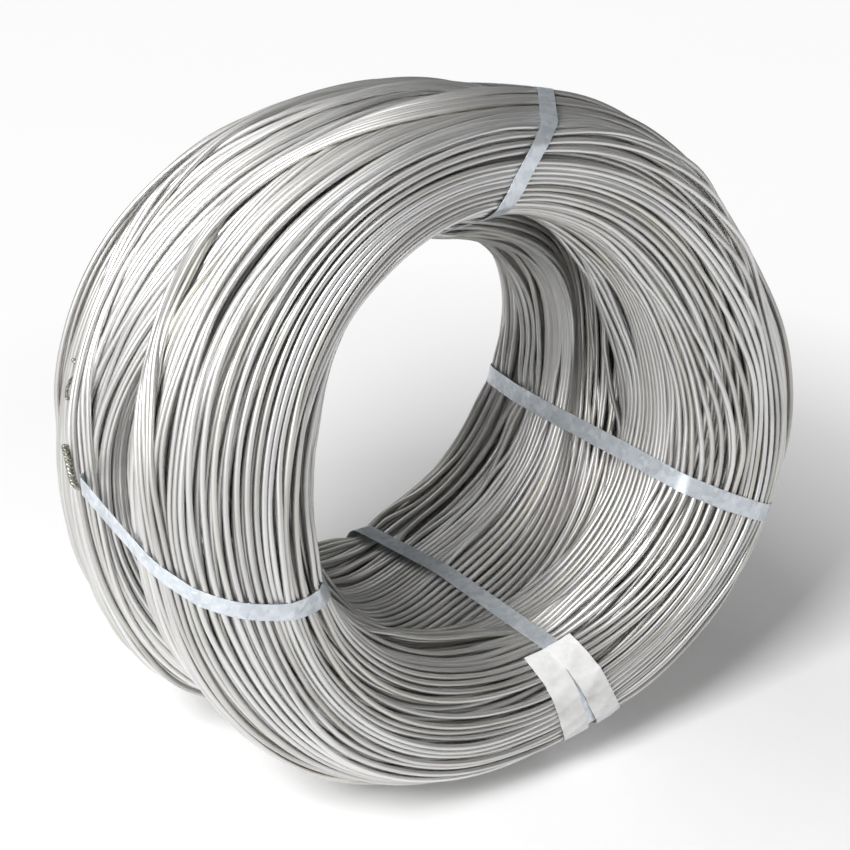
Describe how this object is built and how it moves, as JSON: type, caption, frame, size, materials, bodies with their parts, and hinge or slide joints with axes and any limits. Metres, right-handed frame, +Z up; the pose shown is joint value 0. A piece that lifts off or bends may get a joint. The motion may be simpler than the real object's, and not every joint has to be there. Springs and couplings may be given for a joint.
{
  "type": "coil of wire rod",
  "caption": "Round coil of steel wire rod in side-by-side bundles with an open bore, bound by flat steel straps with crimped seals and a patch of white tape, lying on its rim.",
  "frame": {"origin": "on the floor under the middle of the coil's bounding box", "axes": "+Z up, coil axis in the YZ plane with its front end towards -Y, leaning back 8 degrees because the coil rests on the rims of both bundles"},
  "size_m": [0.6999, 0.4485, 0.7019],
  "materials": {
    "wire": "drawn bright steel wire, satin, with faint dull and brownish turns",
    "strap": "galvanised steel strapping with a faint spangle",
    "seal": "galvanised sheet, crimped",
    "tape": "white woven plastic tape, slightly creased"
  },
  "bodies": {
    "root": {"wire_coil": "wire", "strap_1": "strap", "strap_2": "strap", "strap_3": "strap", "strap_4": "strap", "strap_seal_1": "seal", "strap_seal_2": "seal", "strap_seal_3": "seal", "strap_seal_4": "seal", "tape_strip_1": "tape", "tape_strip_2": "tape"}
  },
  "joints": []
}
